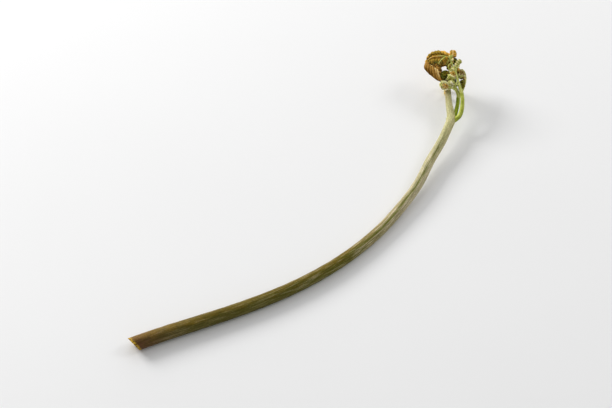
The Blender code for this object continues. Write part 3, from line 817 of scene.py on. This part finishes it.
# %% Terminal crozier
TERMINAL_CURLS = (
    # The rolled tip of the main rachis.
    dict(route=((-1.2, 18.2, 0), (-1.6, 20.6, 0.1), (-3.6, 21.8, 0.2), (-6, 22.7, 0.6),
        (-8.3, 24.4, 0.9), (-10.4, 26.2, 1.1), (-11.8, 28.4, 1.2), (-11.5, 30.4, 1.1)),
        heart=(-6.5, 29, 6), rachis=(1.3, 0.5), body=2.05, leafy_from=0.24, pairs=8, kind=RUST,
        lean=3.2, width=0.48, rib=RUST_RACHIS),
    # Leaves inside the roll.
    dict(route=((-4.3, 22.2, 2.2), (-4.3, 24.4, 3.2), (-4.7, 26.7, 3.8), (-5.9, 28.4, 3.8),
        (-8.2, 29.1, 3.2)), heart=(-7.4, 25.4, 0.5), body=1.1, leafy_from=0.1, pairs=7, kind=RUST,
        lean=2.0, rib=RUST_RACHIS),
    # The small dark curl at its base.
    dict(route=((-0.7, 20.6, 0.4), (0.1, 22.8, 1.2), (-0.3, 24.9, 2.2), (-2, 25.8, 2.8),
        (-4, 24.9, 3.1), (-4.3, 22.9, 3.3), (-2.9, 21.8, 3.5), (-1.8, 22.8, 3.6)),
        heart=(-2.5, 23.6, 2.2), rachis=(0.7, 0.35), body=0.85, pairs=7, kind=OLIVE,
        rib=DARK_RACHIS),
)
terminal = [skin for curl in TERMINAL_CURLS for skin in curl_skins(**curl)]
sew("terminal_crozier_leaves", terminal, crozier_finishes, "terminal_crozier")

# %% Upper crozier
UPPER_CURLS = (
    # The rachis that carries the others.
    dict(route=((5.6, 12.4, 2.6), (5.2, 14.1, 2.8), (4.3, 17.3, 3.4), (3.6, 20.1, 3.7),
        (3, 22.9, 4), (2.2, 26, 4.2), (1, 29, 4.3), (-0.1, 31.6, 4.5), (-1.6, 33.1, 4.7),
        (-4, 33.6, 4.8), (-6.4, 33.8, 4.3)), heart=(-4.6, 34.4, -1), rachis=(0.95, 0.12)),
    # The golden dome.
    dict(route=((0.2, 30.8, 4), (-1.4, 32.8, 4.3), (-4, 33.4, 4.4), (-6.6, 33.6, 4.1),
        (-8.8, 33.5, 3.4), (-10.6, 32.8, 2), (-10.9, 31.8, 0.5)), heart=(-4.6, 34.4, -1),
        rachis=(0.35, 0.2), body=3.0, leafy_from=0.08, pairs=9, kind=GOLDEN, lean=2.4, width=0.8,
        felt=GOLDEN, rib=TAN_RACHIS),
    # Dark and brown leaves under the dome.
    dict(route=((0.6, 28.6, 3.2), (-0.4, 30, 3.4), (-1.6, 31.2, 3.2)), heart=(-0.4, 29.8, 0.5),
        rachis=(0.3, 0.3), body=1.0, leafy_from=0.05, pairs=3, kind=OLIVE, width=0.6,
        rib=DARK_RACHIS),
    dict(route=((-0.8, 30.8, 3), (-3.2, 30.5, 3.6), (-5.8, 30.4, 3.6), (-8.4, 31.2, 2.8),
        (-9.8, 31.8, 1.6)), heart=(-5.4, 31, -2), body=1.5, leafy_from=0.1, pairs=8, kind=BROWN,
        width=0.6, rib=DARK_RACHIS),
    # The curl over the dome's front edge.
    dict(route=((0, 31.4, 4.4), (-0.9, 32.9, 4.7), (-2.4, 32.7, 4.9), (-3.8, 31.4, 5.2),
        (-5.2, 29.8, 5), (-5.7, 28.8, 4.3)), heart=(-2.2, 29.8, 2), rachis=(0.4, 0.25),
        body=1.2, pairs=6, kind=BROWN, width=0.6),
    # The upright tip.
    dict(route=((1.3, 29.5, 4.2), (1.6, 32.2, 4.4), (1.9, 34.8, 4.2), (2.1, 37.3, 3.2),
        (2.1, 38.3, 1.9)), heart=(2, 34.6, 0.6), rachis=(0.5, 0.3), body=1.2, leafy_from=0.4,
        pairs=5, kind=GOLDEN, lean=2.0, width=0.6, rib=TAN_RACHIS),
    # The small tip to its right.
    dict(route=((3, 24.6, 3.9), (3.3, 27.4, 4), (4.3, 29.8, 3.8), (5.3, 31.5, 3.3),
        (5.6, 32.1, 2.5)), heart=(3.6, 31, 1), rachis=(0.4, 0.3), body=0.7, leafy_from=0.25,
        pairs=5, width=0.6, felt=GOLDEN),
    # Small curls on both sides of the rachis.
    dict(route=((3, 22.3, 3.8), (1.6, 22.1, 4.5), (0.7, 23.4, 4.8), (1, 25, 4.3)),
        heart=(2, 24.2, 3), rachis=(0.45, 0.35), body=0.8, leafy_from=0.3, pairs=4, kind=GOLDEN,
        width=0.6, rib=TAN_RACHIS),
    dict(route=((2.9, 23.4, 3.9), (1.6, 24.4, 4.6), (0.3, 26, 4.8), (-0.6, 27.4, 4.3)),
        heart=(1, 25, 1.5), body=0.95, pairs=5, width=0.6, felt=GOLDEN),
    dict(route=((3.1, 21.4, 3.7), (1.6, 20.6, 4.5), (0, 20.8, 4.8), (-0.9, 21.9, 4.7),
        (-0.7, 23.2, 4.3)), heart=(0.8, 22, 1.8), body=0.95, pairs=5, width=0.6, felt=GOLDEN),
    dict(route=((0.7, 29.4, 4.3), (-0.5, 28.3, 4.9), (-0.9, 26.9, 4.9), (-0.2, 25.8, 4.4)),
        heart=(0.4, 27.4, 2), body=0.8, pairs=4, kind=BROWN, width=0.6),
    dict(route=((2.9, 26.4, 3.9), (4.2, 27.2, 3.4), (4.9, 26.4, 2.8), (4.4, 25.4, 2.4)),
        heart=(3.9, 26, 1.6), body=0.6, pairs=3, kind=GOLDEN, width=0.6),
    dict(route=((-0.2, 31.6, 4.4), (-1, 30.5, 4.8), (-1.4, 29.4, 4.7), (-2.2, 28.5, 4.1)),
        heart=(-2.6, 30.2, 3), body=0.75, leafy_from=0.15, pairs=3, kind=GOLDEN),
    dict(route=((1.4, 29.4, 4.2), (0.6, 31, 4.9), (0.3, 32.6, 5), (0.8, 34, 4.4)),
        heart=(1.5, 32, 3), rachis=(0.4, 0.3), body=0.65, pairs=3),
    dict(route=((2.8, 25, 4), (1.2, 24.9, 4.7), (0.3, 25.8, 4.8), (0.2, 27, 4.3)),
        heart=(1.5, 26.4, 3.2), rachis=(0.4, 0.3), body=0.55, pairs=3),
    dict(route=((2.6, 28.4, 3.5), (3, 30.4, 3.7), (3.2, 31.8, 3.5), (3, 33, 3)),
        heart=(2.4, 31, 2), rachis=(0.4, 0.3), body=0.55, leafy_from=0.1, pairs=3, kind=OLIVE,
        rib=DARK_RACHIS),
    # A bare stalk behind the rachis, dark green as painted shade: it stands for the shade beside the
    # rachis.
    dict(route=((3, 17, 2.6), (2.4, 19, 2.9), (2, 21, 3.1), (1.4, 24, 3.4),
        (0.5, 27.4, 3.6)), heart=(2, 21, 0), rachis=(0.75, 0.6), rib=DARK_RACHIS),
)
upper = [skin for curl in UPPER_CURLS for skin in curl_skins(**curl)]
sew("upper_crozier_leaves", upper, crozier_finishes, "upper_pinna_crozier")

# %% Lower crozier
LOWER_CURLS = (
    # The two pale curls in front, and the golden middle of the first.
    dict(route=((4, 12.6, -1.5), (3.6, 14.2, 0.4), (2.2, 15.4, 2.6), (-0.4, 15.9, 3.8),
        (-3.2, 16.2, 4.3), (-4.8, 17.4, 4.3), (-4.6, 19, 4), (-3.2, 19.6, 3.8),
        (-2.2, 18.8, 3.8)), heart=(-2.8, 17.9, 2.6), rachis=(0.8, 0.2), body=1.45, leafy_from=0.42,
        pairs=7, kind=CREAM, width=0.56, felt=PALE),
    dict(route=((2.8, 15, 1.8), (2.4, 16.4, 3.4), (1.7, 18.2, 4.2), (0.4, 19.3, 4.5),
        (-0.8, 18.6, 4.6), (-0.6, 17.3, 4.5), (0.4, 17, 4.5)), heart=(0.5, 17.8, 2.6),
        rachis=(0.55, 0.2), body=1.1, leafy_from=0.3, pairs=6, kind=CREAM, width=0.56, felt=GOLDEN),
    dict(route=((-1.2, 15.7, 3.6), (-2.2, 15.8, 4.6), (-3.4, 16.3, 5), (-3.9, 17.3, 4.9)),
        heart=(-2.8, 17.4, 3.4), rachis=(0.3, 0.3), body=0.55, leafy_from=0.1, pairs=3, kind=GOLDEN,
        rib=TAN_RACHIS),
    # The ring on the right, with a brown curl and a bare hook inside it.
    dict(route=((4, 12.4, -1.5), (4.9, 14.6, -1.4), (6.2, 16.8, -1), (7.2, 19.4, -0.4),
        (7.9, 22.2, 0.2), (7.8, 25, 0.7), (7, 27, 1), (5.8, 27.3, 1.2), (4.5, 26.3, 1.3),
        (4.2, 24.6, 1.3), (4.9, 23.2, 1.3), (6, 22.9, 1.3)), heart=(6, 24.8, 0.6),
        rachis=(0.75, 0.4), body=0.6, leafy_from=0.42, pairs=9, felt=BROWN),
    dict(route=((4.8, 25.8, 1.9), (5.8, 26.3, 2.2), (6.7, 25.4, 2.2), (6.5, 24, 2.1),
        (5.6, 23.7, 2)), heart=(5.8, 25, 0.4), rachis=(0.3, 0.25), body=0.7, leafy_from=0.05,
        pairs=5, kind=BROWN, felt=BROWN, rib=RUST_RACHIS),
    dict(route=((4.6, 23.9, 1.7), (5.2, 23.1, 2.2), (6, 23.4, 2.3), (6.1, 24.2, 2.1)),
        heart=(5.5, 24, 1), rachis=(0.45, 0.35)),
    # Dark leaves in the pocket below the ring.
    dict(route=((4.8, 16.2, -0.6), (5, 18.8, 0.1), (5.4, 21.2, 0.6), (6.4, 22, 0.4)),
        heart=(6.2, 18.8, -0.5), rachis=(0.35, 0.25), body=1.0, leafy_from=0.1, pairs=4, kind=OLIVE,
        rib=DARK_RACHIS),
    # The hidden curl that touches the table.
    dict(route=((4, 12.4, -1.5), (4.3, 16, -2.2), (3.6, 18.8, -3.2), (2, 21.4, -3.4),
        (0.2, 24, -3.6), (-0.7, 26.7, -5.9), (-0.9, 27.3, -9.3), (-0.9, 25.3, -12.1),
        (-0.9, 22.6, -13), (-0.9, 19.9, -11.5), (-0.9, 18.9, -9)), heart=(-0.8, 22.9, -8.6),
        rachis=(0.8, 0.4), body=0.6, leafy_from=0.4, pairs=14, width=0.32),
    # A bare hook in front of the stalks.
    dict(route=((4.6, 13.6, 2), (4.7, 15.6, 3.3), (4.5, 18, 3.9), (3.6, 18.8, 4.1),
        (2.7, 17.9, 4.1), (3.1, 17, 4.1), (3.9, 17.3, 4.1)), heart=(3.6, 17.8, 3.6),
        rachis=(0.4, 0.3)),
)
lower = [skin for curl in LOWER_CURLS for skin in curl_skins(**curl)]
# No corner goes below the top of the table.
for skin in lower:
    skin["corners"][..., 2] = np.maximum(skin["corners"][..., 2], 0)
sew("lower_crozier_leaves", lower, crozier_finishes, "lower_pinna_crozier")

# %% [markdown]
# ## Hairs
# Young bracken is covered with fine hairs, silvery on the stipe and the pale curls, and brown on the
# golden ones. A particle system would grow them in a moment, but particles aren't meshes, and an
# export drops them. A hair here is a cone with three sides, four triangles in all, and thousands of
# them are made in one step: a random corner of a skin, the direction away from it, and a random lean.

# %% Hair material
def hair_material(name, root, tip):
    """A dry hair: pale and a little shiny, darker where it grows from the skin."""
    material, tree, shader = new_material(name, Roughness=0.5, IOR=1.5, Sheen_Weight=0.2)
    look = add(tree, "Attribute", {}, out="Vector", attribute_name="look")
    share = add(tree, "SeparateXYZ", {0: look}, out="X")
    colour = add(tree, "ValToRGB", {0: share}, [(0.0, root), (0.6, tip), (1.0, tip)])
    tree.links.new(colour, shader.inputs["Base Color"])
    return material


# %% Hairs
ROOT_DEPTH = 0.05 * MM
FORWARD_LEAN = 0.9
RANDOM_LEAN = 0.35


def listed(skins, grids):
    """The grids' values at all corners of the skins, without their first and last rings."""
    return np.vstack([np.broadcast_to(grid, skin["corners"].shape)[1:-1].reshape(-1, 3)
                      for skin, grid in zip(skins, grids)])


def hair_mesh(name, skins, count, lengths, thickness, material, seed, weight=None):
    """Cones with three sides: roots at random corners of the skins, tips along the direction away
    from the skin plus a forward lean and a random one. The shortest and longest length and the
    thickness are in millimetres. Hairs that would leave the box are dropped."""
    random = np.random.default_rng(seed)
    middles = [skin["corners"].mean(axis=1, keepdims=True) for skin in skins]
    corners = listed(skins, [skin["corners"] for skin in skins])
    onwards = listed(skins, [np.gradient(middle, axis=0) for middle in middles])
    picked = random.choice(len(corners), count, p=None if weight is None else weight / weight.sum())
    root = corners[picked]
    away = unit(root - listed(skins, middles)[picked] + 1e-9)
    lean = unit(onwards[picked] + 1e-9)
    growth = away + FORWARD_LEAN * lean * random.uniform(0.2, 1.0, (count, 1))
    growth = unit(growth + RANDOM_LEAN * random.normal(size=(count, 3)))
    tip = root + growth * random.uniform(*(MM * np.array(lengths)), (count, 1))
    low, high = np.array(solid_box)
    kept = np.all((tip > low) & (tip < high), axis=1)
    root, tip, growth = root[kept], tip[kept], growth[kept]
    one = unit(np.cross(growth, random.normal(size=growth.shape)))
    two = np.cross(growth, one)
    turn = turns(3)[:, None, None]
    base = root - ROOT_DEPTH * growth + thickness * MM * (np.cos(turn) * one + np.sin(turn) * two)
    places = np.concatenate([base, tip[None]]).transpose(1, 0, 2).reshape(-1, 3)
    first = 4 * np.arange(len(root))[:, None]
    cone = np.array([(0, 2, 1), (0, 1, 3), (1, 2, 3), (2, 0, 3)])
    mesh = bpy.data.meshes.new(name)
    mesh.from_pydata(places.tolist(), [], (first[:, None] + cone).reshape(-1, 3).tolist())
    shares = np.tile([(0.0, 0.0, 0.0)] * 3 + [(1.0, 0.0, 0.0)], (len(root), 1))
    mesh.attributes.new("look", "FLOAT_VECTOR", "POINT").data.foreach_set("vector", shares.ravel())
    mesh.materials.append(material)
    obj = new_object(name, mesh)
    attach(obj, "root")
    print(f"{name}: {len(root)} hairs")


silver = hair_material("silver_hair", "#a89a5c", "#e4dfc0")
brown = hair_material("brown_hair", "#6e5426", "#b59a62")
hair_mesh("lower_crozier_hairs", lower, 5200, (0.25, 0.8), 0.035, silver, 21)
hair_mesh("upper_crozier_hairs", upper, 4200, (0.2, 0.55), 0.03, brown, 22)
hair_mesh("terminal_crozier_hairs", terminal, 2400, (0.2, 0.5), 0.03, brown, 23)
upper_part = stipe["look"][1:-1, :, 0].ravel() ** 3 + 0.02
hair_mesh("stipe_hairs", [stipe], 5000, (0.12, 0.4), 0.02, silver, 24, upper_part)

# %% [markdown]
# ## Table and light
# The shoot lies on a plain white table. A lamp at the back left gives the shadow its direction, and a
# weaker one on the right gives the head its second shadow. A wide window behind the shoot darkens
# the table only where the stipe lies close to it. Bare daylight would be one sun and one hard shadow.
# Area lights have a soft edge that widens with height, which is what the photograph shows.

# %% Table
TABLE_HALF_SIDE = 2.0


def table_material():
    """White laminate: matt, and the same all over but for a faint grain."""
    material, tree, shader = new_material("white_table", Roughness=0.9, Specular_IOR_Level=0.1)
    where = add(tree, "TexCoord", {}, out="Object")
    grain = add(tree, "TexNoise", {"Vector": where, "Scale": 6.0})
    colour = add(tree, "ValToRGB", {0: grain}, [(0.3, "#e9e9e9"), (0.7, "#ebebeb")])
    tree.links.new(colour, shader.inputs["Base Color"])
    return material


corner_signs = np.array([(-1, -1, 0), (1, -1, 0), (1, 1, 0), (-1, 1, 0)], float)
table_mesh = bpy.data.meshes.new("table")
table_mesh.from_pydata((TABLE_HALF_SIDE * corner_signs).tolist(), [], [(0, 1, 2, 3)])
table_mesh.materials.append(table_material())
table = new_object("table", table_mesh)

# %% Lights
LAMPS = dict(
    key=dict(towards=(-1.5, 1.15), size=0.5, distance=1.4, power=16.2),
    fill=dict(towards=(1.13, 0.4), size=0.5, distance=1.4, power=3.0),
    window=dict(towards=(-0.2, 1.5), size=1.8, distance=1.6, power=11.0))
SKY_STRENGTH = 0.42


def soft_light(name, towards, size, distance, power):
    """A square lamp in metres and watts. It stands so far to the viewer's right and away for each
    metre that it stands up."""
    light = bpy.data.objects.new(name, bpy.data.lights.new(name, "AREA"))
    light.data.shape = "SQUARE"
    light.data.size = size
    light.data.energy = power
    aim(light, VIEW_CENTRE + distance * unit(seen_from(towards, 1.0)), VIEW_CENTRE)


for name, settings in LAMPS.items():
    soft_light(name, **settings)
world = bpy.data.worlds.new("studio")
world.use_nodes = True
sky = world.node_tree.nodes["Background"]
sky.inputs["Color"].default_value = (1.0, 1.0, 1.0, 1.0)
sky.inputs["Strength"].default_value = SKY_STRENGTH
bpy.context.scene.world = world
bpy.context.scene.view_settings.view_transform = "Standard"
